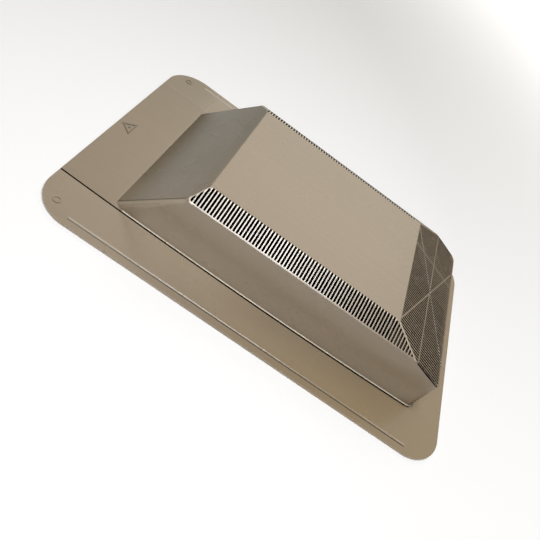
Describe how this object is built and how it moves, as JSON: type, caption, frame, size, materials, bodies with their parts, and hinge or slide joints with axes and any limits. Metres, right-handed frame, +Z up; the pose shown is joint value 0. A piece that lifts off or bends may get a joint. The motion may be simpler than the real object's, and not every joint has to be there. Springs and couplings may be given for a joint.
{
  "type": "slant back roof vent",
  "caption": "Static roof vent: moulded flange with a round throat under a low hood with slanted back, slotted sloping sides and slotted front.",
  "frame": {"origin": "bottom centre of the part's bounding box, which is the middle of the flange's underside", "axes": "+Z up out of the roof, +Y up the slope towards the apron's edge, the front grille faces -Y, +X across the roof"},
  "size_m": [0.374, 0.508, 0.0777],
  "materials": {
    "base_flange": "satin",
    "hood": "satin"
  },
  "bodies": {
    "root": {"base_flange": "base_flange", "hood": "hood"}
  },
  "joints": []
}
